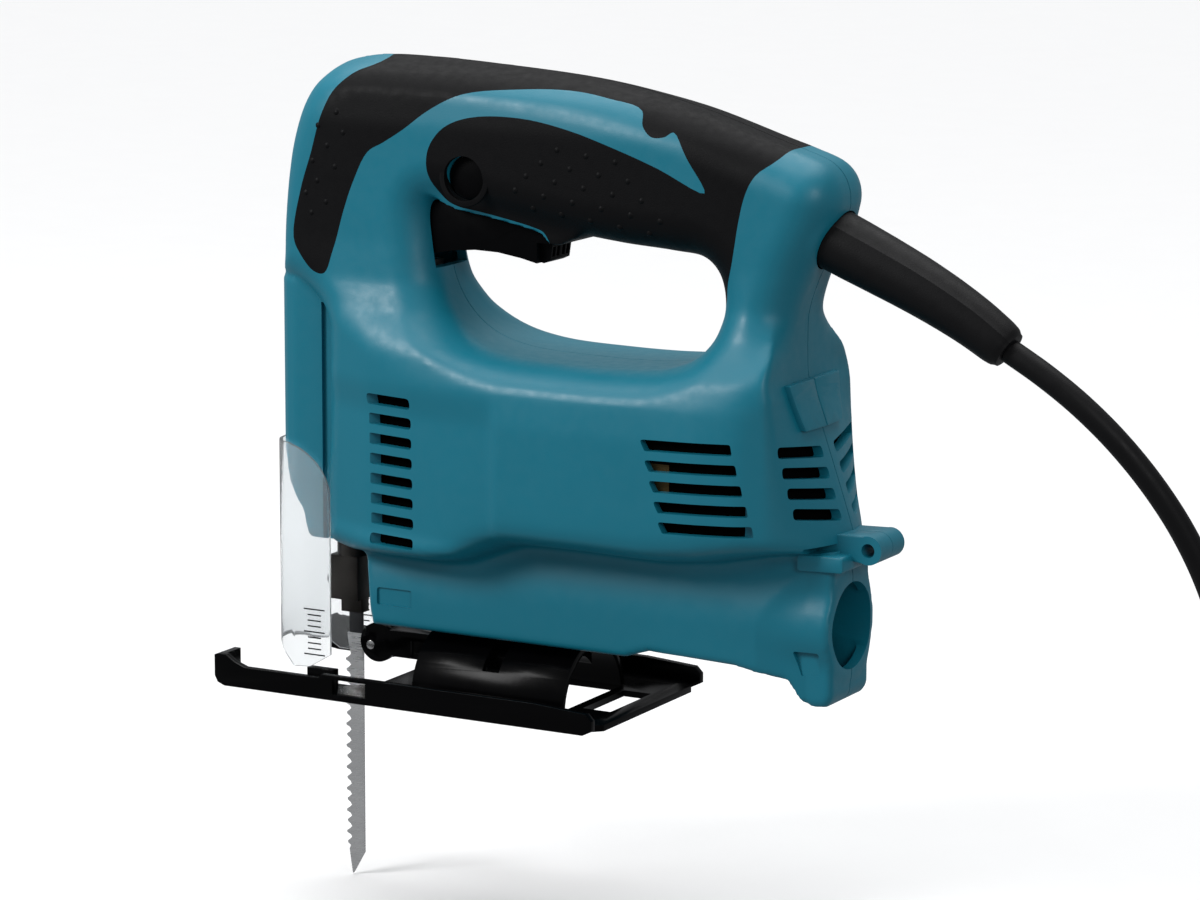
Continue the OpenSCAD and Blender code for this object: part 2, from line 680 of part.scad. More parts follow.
guard_route = [
    [164.9, 0, 148.57], [171, 0, 146], [180, 0, 142.2], [190, 0, 137.8], [200, 0, 132.9],
    [209, 0, 127.9], [216.5, 0, 123], [220, 0, 120.6]
];
module cord_guard() color("black") {
    at_exit() translate([0, 0, -9]) cylinder(r = 8.4, h = 3.4);
    at_exit() translate([0, 0, -8]) cylinder(r = 6.5, h = 8.4);
    tube(guard_route, [9.3, 9.2, 8.9, 8.5, 8, 7.5, 7, 5.6], 20);
}
module cord_clamp() color("black") difference() {
    translate([145.5, -9, 161.4]) cube([5, 18, 3.2]);
    for (s = [-1, 1]) translate([148, s * 6.6, 150]) cylinder(r = 1.4, h = 20);
}
module cord_clamp_screws() color("silver")
    for (s = [-1, 1]) translate([148, s * 6.6, 151]) {
        cylinder(r = 1.4, h = 13.6);
        translate([0, 0, 13.6]) cylinder(r = 2.4, h = 1.8);
    }

// The lead's sheath inside the body, from the guard to the clamp's far side.
module lead_sheath() color("black") at_exit() translate([0, 0, -22]) cylinder(r = lead_r, h = 13);

// The lead's route from the guard to the coil, and its tail from the coil to the plug.
lead_route = [
    [220, 0, 120.6], [231, 0.3, 114.2], [242, 1.5, 106.2], [252.5, 3.8, 96.2],
    [262, 7.2, 84.2], [270, 11.3, 70.6], [276.4, 15.1, 55.5], [281.2, 17.9, 39],
    [284.5, 19, 21.5], [286.9, 19.1, 4], [289.3, 18.8, -13.5], [292.8, 18.6, -30],
    [298.6, 18.8, -44.2], [307.4, 20, -54.8], [318.4, 23.1, -60.6], [329.8, 28.4, lead_z],
    [341.1, 34.93, lead_z]
];
coil_at = [363, -3];
coil_r = 40.15;
module power_cord() color("black") tube(lead_route, lead_r, 10);
module cord_coil() color("black")
    translate([coil_at[0], coil_at[1], floor_z]) rotate_extrude()
        translate([coil_r - lead_d, 0]) square([2 * lead_d, 4 * lead_d]);
tail_start = [coil_at[0] + 21.9, coil_at[1] + 37.93, lead_z + 3 * lead_d];
tail_route = [
    tail_start + [3.4, -2, -0.3], tail_start + [10.6, -6.1, -2.6],
    tail_start + [19, -10.97, -7.6], tail_start + [27.5, -15.88, -11.9],
    tail_start + [34.5, -19.92, -12.55]
];
module cord_tail() color("black") tube(tail_route, lead_r, 10);
module at_plug()
    translate([tail_route[4][0], tail_route[4][1], tail_route[4][2]]) rotate([0, 0, -30])
        children();
module plug_body() color("black") at_plug() {
    along_x(5.4, 0, 10);
    translate([10, 0, 0]) rotate([0, 90, 0]) linear_extrude(28) polygon([
        [-13, -12], [-9, -17.5], [9, -17.5], [13, -12], [13, 12], [9, 17.5], [-9, 17.5],
        [-13, 12]]);
}
module plug_pins() color("silver") at_plug()
    for (s = [-1, 1]) along_x(2.4, 38, 57, s * 9.5);

housing_left();
housing_right();
grip_left();
grip_right();
housing_screws();
trigger();
trigger_pin();
lock_button();
switch_body();
wire_leads();
gear_housing();
gear_pin();
drive_gear();
crank_pin();
plunger();
plunger_bushes();
plunger_seal();
pinion();
armature_shaft();
front_bearing();
rear_bearing();
bearing_holder();
fan();
armature_core();
armature_windings();
commutator();
stator_core();
stator_windings();
brush_holders();
brush_left();
brush_right();
blade_clamp();
clamp_screw();
blade();
guide_roller();
roller_pin();
retainer();
base_bolt();
base_nut();
base_plate();
chip_cover();
cord_guard();
cord_clamp();
cord_clamp_screws();
lead_sheath();
power_cord();
cord_coil();
cord_tail();
plug_body();
plug_pins();
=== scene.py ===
"""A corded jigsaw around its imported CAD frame. Lengths are in millimetres until a mesh is made."""

import json
import math

import bmesh
import bpy
import numpy as np
from mathutils import Matrix, Vector


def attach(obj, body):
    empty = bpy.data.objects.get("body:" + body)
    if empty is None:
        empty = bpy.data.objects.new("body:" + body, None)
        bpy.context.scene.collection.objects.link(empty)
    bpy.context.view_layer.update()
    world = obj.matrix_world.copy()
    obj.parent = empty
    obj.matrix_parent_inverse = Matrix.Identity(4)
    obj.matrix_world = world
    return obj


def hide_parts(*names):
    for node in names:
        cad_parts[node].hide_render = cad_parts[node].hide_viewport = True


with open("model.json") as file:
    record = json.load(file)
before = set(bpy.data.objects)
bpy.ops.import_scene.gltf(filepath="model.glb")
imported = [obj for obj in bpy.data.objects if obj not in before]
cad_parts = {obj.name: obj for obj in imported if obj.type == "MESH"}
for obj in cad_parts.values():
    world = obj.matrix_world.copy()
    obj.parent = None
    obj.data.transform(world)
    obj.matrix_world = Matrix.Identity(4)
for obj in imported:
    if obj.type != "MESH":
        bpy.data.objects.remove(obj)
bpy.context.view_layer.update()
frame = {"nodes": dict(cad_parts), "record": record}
NODES = frame["nodes"]
MM = 0.001
SHARP = math.radians(28)

# ---------------------------------------------------------------- camera and floor
FLOOR_Z = -66.0
LEAD_D = 7.3
LEAD_Z = FLOOR_Z + LEAD_D / 2


def make_camera():
    data = bpy.data.cameras.new("camera")
    data.lens = 133.75
    data.sensor_width = 36.0
    data.clip_start = 0.05
    data.clip_end = 20.0
    cam = bpy.data.objects.new("camera", data)
    bpy.context.scene.collection.objects.link(cam)
    bpy.context.scene.camera = cam
    place = Vector((0.72354, -1.15836, 0.33059))
    azimuth, elevation, roll = math.radians(28.81), math.radians(10.77), 0.0032
    look = Vector((-math.sin(azimuth) * math.cos(elevation),
                   math.cos(azimuth) * math.cos(elevation), -math.sin(elevation)))
    turn = look.to_track_quat("-Z", "Y").to_matrix().to_4x4()
    cam.matrix_world = Matrix.Translation(place) @ turn @ Matrix.Rotation(roll, 4, "Z")


make_camera()

# ---------------------------------------------------------------- mesh helpers


def finish_piece(name, mesh, material, body, nodes=(), smooth=True, angle=35):
    mesh.materials.clear()
    mesh.materials.append(material)
    if smooth:
        mesh.polygons.foreach_set("use_smooth", [True] * len(mesh.polygons))
        mesh.set_sharp_from_angle(angle=math.radians(angle))
    obj = bpy.data.objects.new(name, mesh)
    bpy.context.scene.collection.objects.link(obj)
    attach(obj, body)
    if nodes:
        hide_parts(*nodes)
    return obj


def mesh_of(verts, faces):
    """A plain mesh from arrays of points and faces, in millimetres."""
    mesh = bpy.data.meshes.new("work")
    mesh.from_pydata([tuple(map(float, v)) for v in verts], [], [tuple(map(int, f)) for f in faces])
    mesh.update()
    return mesh


def joined(meshes):
    """Several closed meshes as one."""
    bm = bmesh.new()
    for m in meshes:
        bm.from_mesh(m)
    out = bpy.data.meshes.new("work")
    bm.to_mesh(out)
    bm.free()
    return out


def boolean(a, b, operation):
    """Solid a with solid b taken away from it, added to it, or kept in common."""
    first = bpy.data.objects.new("first", a)
    second = bpy.data.objects.new("second", b)
    for o in (first, second):
        bpy.context.scene.collection.objects.link(o)
    mod = first.modifiers.new("cut", "BOOLEAN")
    mod.operation = operation
    mod.solver = "MANIFOLD"
    mod.object = second
    bpy.context.view_layer.update()
    graph = bpy.context.evaluated_depsgraph_get()
    result = bpy.data.meshes.new_from_object(first.evaluated_get(graph))
    bpy.data.objects.remove(first)
    bpy.data.objects.remove(second)
    if not result.polygons:
        raise RuntimeError("an empty boolean")
    return result


def minus(a, b):
    return boolean(a, b, "DIFFERENCE")


def plus(a, b):
    return boolean(a, b, "UNION")


def common(a, b):
    return boolean(a, b, "INTERSECT")


def prism(points, place, low, high):
    """A closed prism: points are a counter-clockwise 2-D outline, place(u, v, w) gives the 3-D point."""
    n = len(points)
    verts = [place(u, v, w) for w in (low, high) for u, v in points]
    faces = [list(range(n - 1, -1, -1)), list(range(n, 2 * n))]
    faces += [[i, (i + 1) % n, n + (i + 1) % n, n + i] for i in range(n)]
    mesh = mesh_of(verts, faces)
    bm = bmesh.new()
    bm.from_mesh(mesh)
    bmesh.ops.recalc_face_normals(bm, faces=bm.faces)
    bm.to_mesh(mesh)
    bm.free()
    return mesh


def across(points, y0, y1):
    return prism(points, lambda u, v, w: (u, w, v), y0, y1)


def upright(points, z0, z1):
    return prism(points, lambda u, v, w: (u, v, w), z0, z1)


def lengthwise(points, x0, x1):
    return prism(points, lambda u, v, w: (w, u, v), x0, x1)


def box(x0, x1, y0, y1, z0, z1):
    return upright([(x0, y0), (x1, y0), (x1, y1), (x0, y1)], z0, z1)


def circle(r, n=48, u=0.0, v=0.0):
    return [(u + r * math.cos(2 * math.pi * i / n), v + r * math.sin(2 * math.pi * i / n))
            for i in range(n)]


def rounded(points, r, n=5):
    """An outline with each corner rounded by an arc of radius r."""
    out = []
    count = len(points)
    for i in range(count):
        p, q, s = (Vector(points[(i + k) % count]) for k in (-1, 0, 1))
        a, b = (p - q).normalized(), (s - q).normalized()
        half = a.angle(b) / 2
        reach = min(r / math.tan(half), 0.45 * (p - q).length, 0.45 * (s - q).length)
        start, end = q + a * reach, q + b * reach
        for k in range(n + 1):
            t = k / n
            out.append(tuple(start * (1 - t) ** 2 + q * 2 * t * (1 - t) + end * t * t))
    return out


def smooth_loop(points, steps=6):
    """A closed centripetal Catmull-Rom curve through the points."""
    pts = [np.array(p, float) for p in points]
    n = len(pts)
    out = []
    for i in range(n):
        p0, p1, p2, p3 = (pts[(i + k) % n] for k in (-1, 0, 1, 2))
        t0 = 0.0
        t1 = t0 + np.linalg.norm(p1 - p0) ** 0.5
        t2 = t1 + np.linalg.norm(p2 - p1) ** 0.5
        t3 = t2 + np.linalg.norm(p3 - p2) ** 0.5
        for k in range(steps):
            t = t1 + (t2 - t1) * k / steps
            a1 = (t1 - t) / (t1 - t0) * p0 + (t - t0) / (t1 - t0) * p1
            a2 = (t2 - t) / (t2 - t1) * p1 + (t - t1) / (t2 - t1) * p2
            a3 = (t3 - t) / (t3 - t2) * p2 + (t - t2) / (t3 - t2) * p3
            b1 = (t2 - t) / (t2 - t0) * a1 + (t - t0) / (t2 - t0) * a2
            b2 = (t3 - t) / (t3 - t1) * a2 + (t - t1) / (t3 - t1) * a3
            out.append(tuple((t2 - t) / (t2 - t1) * b1 + (t - t1) / (t2 - t1) * b2))
    return out


def mirrored(mesh):
    """The mesh seen in the plane y = 0."""
    out = mesh.copy()
    out.transform(Matrix.Diagonal((1, -1, 1, 1)))
    out.flip_normals()
    return out


def scaled_copy(mesh):
    out = mesh.copy()
    out.transform(Matrix.Scale(MM, 4))
    return out


# ---------------------------------------------------------------- solid from a distance field


def polygon_field(points, x, z):
    """Signed distance in the plane from a closed outline, negative inside."""
    best = np.full(x.shape, 1e9)
    inside = np.zeros(x.shape, bool)
    n = len(points)
    for i in range(n):
        (ax, az), (bx, bz) = points[i], points[(i + 1) % n]
        dx, dz = bx - ax, bz - az
        size = dx * dx + dz * dz
        if size < 1e-12:
            continue
        t = np.clip(((x - ax) * dx + (z - az) * dz) / size, 0, 1)
        best = np.minimum(best, np.hypot(x - ax - t * dx, z - az - t * dz))
        if az != bz:
            crosses = (az > z) != (bz > z)
            inside ^= crosses & (x < dx * (z - az) / (bz - az) + ax)
    return np.where(inside, -best, best)


def round_max(a, b, r):
    """Intersection of two fields with its edge rounded to radius r."""
    return np.minimum(np.maximum(a, b), -r) + np.hypot(np.maximum(a + r, 0), np.maximum(b + r, 0))


def soft_min(a, b, k):
    """Union of two fields with a fillet of about k."""
    h = np.clip(0.5 + 0.5 * (b - a) / k, 0, 1)
    return b * (1 - h) + a * h - k * h * (1 - h)


def smooth_table(table, at, spread):
    """A smoothed reading of a table of [place, value] pairs."""
    places = [p for p, _ in table]
    values = [v for _, v in table]
    fine = np.arange(places[0] - 20, places[-1] + 20, 0.5)
    read = np.interp(fine, places, values)
    width = int(spread / 0.5) | 1
    kernel = np.ones(width) / width
    for _ in range(3):
        read = np.convolve(np.pad(read, width // 2, mode="edge"), kernel, mode="valid")
    return np.interp(at, fine, read)


def surface_net(field, low, pitch):
    """Closed surface where the field is zero, as arrays of points and four-sided faces."""
    field = np.pad(field, 1, constant_values=1.0)
    low = np.array(low) - pitch
    neg = field < 0
    shape = tuple(s - 1 for s in field.shape)
    total = np.zeros(shape + (3,))
    count = np.zeros(shape)

    def part(array, offset):
        return array[tuple(slice(o, o + s) for o, s in zip(offset, shape))]

    for axis in range(3):
        others = [a for a in range(3) if a != axis]
        for i in (0, 1):
            for j in (0, 1):
                start = [0, 0, 0]
                start[others[0]], start[others[1]] = i, j
                end = list(start)
                end[axis] = 1
                a, b = part(field, start), part(field, end)
                hit = part(neg, start) != part(neg, end)
                t = np.where(hit, a / np.where(hit, a - b, 1), 0)
                for c in range(3):
                    total[..., c] += np.where(hit, t if c == axis else start[c], 0)
                count += hit
    active = count > 0
    number = np.full(shape, -1)
    number[active] = np.arange(active.sum())
    cells = np.argwhere(active)
    verts = (cells + total[active] / count[active][:, None]) * pitch + low
    quads = []
    for axis in range(3):
        u, v = (axis + 1) % 3, (axis + 2) % 3
        first = [slice(None)] * 3
        second = [slice(None)] * 3
        first[axis], second[axis] = slice(0, -1), slice(1, None)
        a, b = neg[tuple(first)], neg[tuple(second)]
        for flip, where in ((False, a & ~b), (True, b & ~a)):
            at = np.argwhere(where)
            corner = []
            for du, dv in ((-1, -1), (0, -1), (0, 0), (-1, 0)):
                c = at.copy()
                c[:, u] += du
                c[:, v] += dv
                corner.append(number[c[:, 0], c[:, 1], c[:, 2]])
            quad = np.stack(corner, 1)
            quads.append(quad[:, ::-1] if flip else quad)
    return verts, np.concatenate(quads)


def settle(verts, quads, rounds=2):
    """The net with each point moved to the middle of its neighbours, there and back, to even it out."""
    n = len(verts)
    a = quads.ravel()
    b = np.roll(quads, -1, 1).ravel()
    degree = np.bincount(a, minlength=n) + np.bincount(b, minlength=n)
    for i in range(rounds * 2):
        mean = np.stack([(np.bincount(a, verts[b, c], n) + np.bincount(b, verts[a, c], n)) / degree
                         for c in range(3)], 1)
        verts = verts + (0.5 if i % 2 == 0 else -0.53) * (mean - verts)
    return verts


# ---------------------------------------------------------------- the shape of the body
BODY_SIDE = [
    (-1, 46), (6, 43.5), (24, 41.8), (42, 41.5), (52, 43), (60, 46.5), (70, 50), (90, 50.8),
    (120, 50.3), (135, 51.8), (150, 55), (160, 58.2), (168, 60.8), (171.6, 62.4), (168.1, 73),
    (164.2, 84.1), (161, 93), (157.6, 102), (156, 108.6), (155.8, 118), (156.2, 127),
    (160, 138.5), (169, 159), (168, 166), (164, 170.8), (154, 174.6), (146, 177),
    (120, 185), (86, 192), (52, 195.6), (30, 197), (14, 197), (5, 195.6), (-3, 192),
    (-11.5, 183.5), (-18, 170), (-21.5, 158), (-24, 145), (-25, 134), (-25, 122.5),
    (-13, 122), (-5, 118), (-1, 111)]
LOOP_SIDE = [
    (34.5, 152), (34.5, 138), (36.5, 128), (42, 119), (50, 112.8), (62, 109.2), (84, 108),
    (108, 108.3), (121, 110), (128.5, 114), (132.5, 121), (133.3, 129), (131, 137), (126, 141.3),
    (116, 142.6), (100, 143.6), (88, 144.8), (80, 145.8), (76, 146.4), (60, 149.2), (46, 152)]
# the handle's lower edge beside the trigger
SKIRT_SIDE = [
    (32, 158), (38.4, 152.5), (43.3, 150.7), (52.3, 149.5), (61.7, 147.9), (69.6, 146.4),
    (72.7, 145.4), (75.4, 142.6), (78.6, 142.2), (84.7, 145), (90, 152), (78, 162), (40, 164)]
PLAN_HALF = [
    (-25, 5), (-22.5, 10), (-17, 14.5), (-8, 17.5), (0, 19.5), (8, 22.5), (20, 27), (36, 30.2),
    (60, 33.6), (69, 35), (90, 35), (135, 35), (148, 32.4), (158.5, 27), (175, 15)]
# the seam's run down the rear, and where the rear face meets the side, as (z, x)
REAR_SEAM = [
    (50, 172.5), (62, 171.8), (73, 168.1), (84, 164.2), (93, 161), (102, 157.6), (108.6, 156),
    (118, 155.8), (130, 156.2)]
REAR_EDGE = [(50, 160.5), (74, 159.4), (91, 158.2), (108, 156.8), (121, 155.4), (130, 155)]
# how much higher or lower the underside is along the body, as (x, rise)
BELLY_RISE = [
    (-20, -7), (42, -7.5), (52, -6.5), (61, -3), (70, -0.3), (118, -0.3), (135, 1.5), (150, 4.7),
    (160, 7.8), (172, 11)]
FRONT_HALF = [
    (38, 14), (45, 15.5), (48, 18), (50, 22.5), (53, 28.5), (56.5, 32.6), (61, 34.7), (66, 35),
    (90, 35), (100, 33.4), (108, 30), (114, 25.5), (120, 21.5), (128, 18.6), (140, 17.6),
    (176, 17.6), (186, 16), (192, 13), (197.5, 7)]
FOOT_SIDE = [
    (11.5, 46), (11.5, 39), (15.5, 20.4), (104, 20.4), (112, 23), (141, 22), (157, 19),
    (161, 13), (165, 11.5), (169.5, 12), (171, 15), (171, 56), (120, 52), (60, 52), (40, 48)]
FOOT_HALF = [(11.5, 13), (15, 17), (148, 17), (157, 14.5), (163, 13), (171, 13)]
FOOT_TALL = [(8, 17), (36, 17), (41, 16.2), (46, 14.8), (57, 11.5)]
POST_SIDE = [
    (-22.4, 126), (-22.4, 73), (-19.5, 68), (-17.3, 60), (-12.4, 53), (-10.8, 46), (-9.5, 44.5),
    (2, 44.5), (2, 126)]
POST_HALF = [(-22.4, 5.5), (-20.8, 8.5), (-18.2, 11), (-14.5, 12.5), (3, 12.5)]
SOFT_SIDE = [
    (14, 205), (14.5, 194.5), (7, 190), (2, 184.5), (-2, 175.5), (-5, 166), (-9.5, 153.5),
    (-12.5, 139), (-9.5, 133.8), (-4.5, 129.2), (0, 129), (3, 136), (7, 149), (10.5, 158),
    (15.5, 167), (21, 170.2), (28, 174.5), (37, 181), (47.5, 186), (65, 188.2), (82, 188.6),
    (95, 187), (107, 184.2), (109, 180), (112.5, 177.2), (116.5, 177.4), (119, 178.8),
    (125, 171), (130.5, 162), (115, 168.2), (102, 172.7), (85, 177.6), (68, 180.2), (51, 179.4),
    (42, 175.8), (37, 169.5), (36.2, 163), (37.6, 157.4), (40.4, 153.6), (44, 151.9),
    (52.4, 150.6), (61.9, 149), (70.5, 147.2), (73.9, 145.9), (76.6, 141.5), (79.5, 138),
    (100, 138), (122, 136), (129, 128), (135.3, 129), (137, 135), (139.5, 142.6),
    (141.6, 154.5), (143.5, 162), (146.5, 168), (153, 174.6), (153, 205)]
SOFT_T = 1.5
WALL = 3.0
PORT_Z = 34.6
BUTTON_AT = (49, 161)
SCREWS = [(-12, 172), (40, 187), (140, 148), (150, 112), (37, 112), (148, 60), (69, 55)]
BOLT_X = 58


def step(a, b, x):
    t = np.clip((x - a) / (b - a), 0, 1)
    return t * t * (3 - 2 * t)


def body_field(pitch):
    """The body's near half, as a distance field on a grid, and the grid's low corner."""
    low = (-28.0, -38.0, 8.0)
    x = np.arange(low[0], 175, pitch)
    y = np.arange(low[1], 3.5, pitch)
    z = np.arange(low[2], 200, pitch)
    gx, gz = np.meshgrid(x, z, indexing="ij")
    rise = np.interp(gx, *zip(*BELLY_RISE))
    wide = smooth_table(PLAN_HALF, gx, 4.0)
    tall = smooth_table(FRONT_HALF, gz - rise * step(80, 60, gz), 2.5)
    half = soft_min(wide, tall, 4.0)
    # the side panel stands a little proud of the vented front
    half = half - 1.5 * step(70, 65, gx) * step(46, 54, gz) * step(100, 88, gz)
    du, dv = np.gradient(half, pitch)
    slope = np.sqrt(1 + du ** 2 + dv ** 2)
    radius = 8.5 + 4.5 * step(95, 135, gz)
    away = np.abs(y)[None, :, None]
    sides = (away - half[:, None, :]) / slope[:, None, :]
    loop = polygon_field(smooth_loop(LOOP_SIDE), gx, gz)

    def bulk(outline):
        side = np.maximum(polygon_field(outline, gx, gz), -loop)
        return round_max(side[:, None, :], sides, radius[:, None, :])

    # below the waist, the rear is a face of its own that bulges down to the seam's foot
    seam_x = smooth_table(REAR_SEAM, z, 3.0)
    edge_x = smooth_table(REAR_EDGE, z, 3.0)
    drop = np.maximum(seam_x - edge_x, 0)[None, :]
    face_x = seam_x[None, :] - drop * (np.abs(y)[:, None] / 26) ** 1.7
    fy, fz = np.gradient(face_x, pitch)
    face = (x[:, None, None] - face_x[None]) / np.sqrt(1 + fy ** 2 + fz ** 2)[None]
    smooth_side = smooth_loop(BODY_SIDE)
    longer = [(px + 22 * float(step(150, 156, px)) * float(step(140, 132, pz)), pz)
              for px, pz in smooth_side]
    low_body = round_max(bulk(longer), face, 1.8)
    body = bulk(smooth_side)
    mix = step(112, 128, gz)[:, None, :] * np.ones_like(body)
    body = low_body * (1 - mix) + body * mix
    skirt = round_max(polygon_field(SKIRT_SIDE, gx, gz)[:, None, :], away - 12.4 + 0 * body, 0.7)
    out = soft_min(body, skirt, 3.0)
    foot_half = np.minimum(np.interp(gx, *zip(*FOOT_HALF)),
                           smooth_table(FOOT_TALL, gz - 0.6 * np.minimum(rise, 0), 3.0))
    foot = round_max(polygon_field(FOOT_SIDE, gx, gz)[:, None, :],
                     away - foot_half[:, None, :], 1.6)
    out = soft_min(out, foot, 5.0)
    port = round_max(np.hypot(y[:, None], z[None, :] - PORT_Z)[None] - 16,
                     np.abs(x - 156)[:, None, None] - 15, 0.8)
    out = soft_min(out, port, 2.0)
    post_half = np.interp(gx, *zip(*POST_HALF))
    post = round_max(polygon_field(POST_SIDE, gx, gz)[:, None, :],
                     away - post_half[:, None, :], 1.4)
    out = soft_min(out, post, 0.8)
    # collar round the lead's guard
    c, v = math.cos(math.radians(24)), math.sin(math.radians(24))
    along = (gx - 164.5) * c - (gz - 148.75) * v
    across_ = (gx - 164.5) * v + (gz - 148.75) * c
    collar = round_max(np.hypot(across_[:, None, :], y[None, :, None]) - 11.8,
                       (np.abs(along + 5.1) - 4.5)[:, None, :], 1.5)
    out = soft_min(out, collar, 1.6)
    return out, low


def solid_at(field, low, pitch, depth=0.0):
    verts, quads = surface_net(field + depth, low, pitch)
    return mesh_of(settle(verts, quads), quads)


def rear_pad(field, low, pitch):
    """The near half of the raised pad across the rear, above the vents."""
    i, k, m = (int((v - o) / pitch) for v, o in ((146, low[0]), (86, low[2]), (116, low[2])))
    part = field[i:, :, k:m]
    corner = (low[0] + i * pitch, low[1], low[2] + k * pitch)
    layer = minus(solid_at(part, corner, pitch, -1.8), solid_at(part, corner, pitch, 1.2))
    plan = [(-16.5, 107.3), (-12.5, 93.6), (-0.15, 93.6), (-0.15, 107.3)]
    return edged(common(layer, lengthwise(plan, 150, 180)), 0.35)


def turned(mesh, matrix):
    out = mesh.copy()
    out.transform(matrix)
    return out


EXIT = (Matrix.Translation((164.5, 0, 148.75)) @ Matrix.Rotation(math.radians(90 + 24), 4, "Y"))


def front_vents():
    """Slots whose floor slopes from the front edge down through the wall."""
    out = []
    for i in range(8):
        x0 = 19.9 + 0.15 * (7 - i)
        z0 = 48.3 + 6.16 * i
        side = rounded([(x0, z0), (x0 + 17.2, z0), (x0 + 17.2, z0 + 3.5), (x0, z0 + 3.5)], 1.4, 4)
        slot = across(side, -40, -18)
        plan = [(x0 - 1, -40), (x0 + 18, -40), (x0 + 18, -20), (x0 + 5.4, -20), (x0 - 1, -27)]
        out.append(common(slot, upright(plan, z0 - 1, z0 + 5)))
    return out


def side_vents():
    out = []
    for i in range(5):
        x0 = 119 + 1.5 * (4 - i)
        z0 = 63.5 + 6 * i
        lean = -math.tan(math.radians(-1.5))
        side = [(x0 + 0.9, z0), (x0 + 28.6, z0 + 28 * lean), (x0 + 28.0, z0 + 3.4 + 28 * lean),
                (x0 - 0.9, z0 + 3.4)]
        out.append(across(rounded(side, 0.8, 3), -40, -28))
    return out


def rear_vents():
    out = []
    for i in range(4):
        z, y = 66.6 + 6.1 * i, 21.4 + 1.1 * i
        slot = [(-y, z + 2.4), (-4, z), (-4, z + 3.4), (-y, z + 5.8)]
        out.append(lengthwise(rounded(slot, 1.3, 4), 148, 180))
    return out


def shared_cuts():
    """What both halves are open to: the clamp's well, the trigger's slot, the bolt, the lead."""
    cuts = [
        box(-9.5, 6.5, -8.2, 8.2, 38, 66),
        box(-18, -8, -5.2, 5.2, 38, 60),
        across(rounded([(29.3, 132), (77.5, 132), (77.5, 159), (29.3, 159)], 1.0), -9.3, 9.3),
        upright(circle(2.6, 24, BOLT_X, 0), 10, 60),
        turned(upright(circle(9.7, 56), -3, 20), EXIT),
        turned(upright(circle(6.6, 40), -10, 20), EXIT),
        lengthwise(circle(13.1, 72, 0, PORT_Z), 138, 173),
        box(5, 19, -12, 12, 24, 40),
        across(rounded([(17.5, 27), (30, 27), (30, 32.5), (17.5, 32.5)], 1.0), -20, -16.2),
        across(rounded([(159.2, 28.3), (161.6, 20.8), (167.6, 21.4), (167.6, 28.5)], 0.8), -20, -12.9),
        box(-4.6, -1.1, -14, -11.2, 44, 119),
        across([(76, 140), (80, 140), (88, 144.6), (78.6, 143.6), (76, 143.8)], -9.3, 9.3),
        across(rounded([(163.5, 58), (176, 58.6), (176, 61), (163.5, 60)], 0.8), -19, -8.1),
    ]
    return cuts


def all_minus(mesh, cuts):
    for c in cuts:
        mesh = minus(mesh, c)
    return mesh


def surface_y(field, low, pitch, x, z):
    """Where the near skin is, at a place in the side view."""
    i, k = (x - low[0]) / pitch, (z - low[2]) / pitch
    i0, k0 = int(i), int(k)
    fi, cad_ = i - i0, k - k0
    column = ((1 - fi) * (1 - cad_) * field[i0, :, k0] + fi * (1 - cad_) * field[i0 + 1, :, k0]
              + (1 - fi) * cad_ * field[i0, :, k0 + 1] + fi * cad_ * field[i0 + 1, :, k0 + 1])
    j = int(np.argmax(column < 0))
    t = column[j - 1] / (column[j - 1] - column[j])
    return low[1] + (j - 1 + t) * pitch


def ball(x, y, z, r):
    bm = bmesh.new()
    bmesh.ops.create_icosphere(bm, subdivisions=2, radius=r,
                               matrix=Matrix.Translation((x, y, z)))
    mesh = bpy.data.meshes.new("work")
    bm.to_mesh(mesh)
    bm.free()
    return mesh


def grip_dots(field, low, pitch):
    """Low domes in slanted rows on the handle's side and on the front pad."""
    side = [((81.3, 171.6), 3), ((75.8, 167.4), 4), ((70.7, 163.2), 5), ((66.9, 158.8), 6),
            ((72.2, 153.7), 5)]
    places = [(x + 9.75 * n, z - 1.2 * n) for (x, z), count in side for n in range(count)]
    places += [(4.3, 178.3), (-2.2, 174), (6.8, 172.4), (1, 168.1), (-4.5, 163.1), (3.8, 161.8),
               (-2.8, 157.1), (-7.2, 153.1), (0.4, 150.8), (-5.1, 147.1)]
    out = []
    for x, z in places:
        y = surface_y(field, low, pitch, x, z)
        out.append(ball(x, y + 0.85, z, 1.3))
    return joined(out)


def outward(mesh):
    bm = bmesh.new()
    bm.from_mesh(mesh)
    bmesh.ops.recalc_face_normals(bm, faces=bm.faces)
    bm.to_mesh(mesh)
    bm.free()
    return mesh


def edged(mesh, width, weld=1e-4, name="work"):
    """A copy of a solid with its sharp edges rounded; points closer than weld become one."""
    bm = bmesh.new()
    bm.from_mesh(mesh)
    bmesh.ops.remove_doubles(bm, verts=bm.verts, dist=weld)
    bmesh.ops.dissolve_limit(bm, angle_limit=math.radians(1.0), verts=bm.verts, edges=bm.edges)
    edges = [e for e in bm.edges if len(e.link_faces) == 2 and e.calc_face_angle(0) > SHARP]
    bmesh.ops.bevel(bm, geom=edges, offset=width, offset_type="OFFSET", segments=2, profile=0.5,
                    affect="EDGES", clamp_overlap=True)
    out = bpy.data.meshes.new(name)
    bm.to_mesh(out)
    bm.free()
    return out


KEY_AT = (180, 59.3)


def key_tube():
    """The near half of the tube that holds the hex key, on its tongue and ledge."""
    tube = across(circle(4.3, 48, *KEY_AT), -8, -0.1)
    tongue = across([(164, 57), (180, 55), (180, 63.6), (164, 63)], -8, -0.1)
    ledge = across(rounded([(160, 52.4), (175, 53), (175, 57.8), (160, 57.6)], 1.2), -14.5, -0.1)
    return plus(plus(tube, edged(tongue, 0.4)), edged(ledge, 0.7))


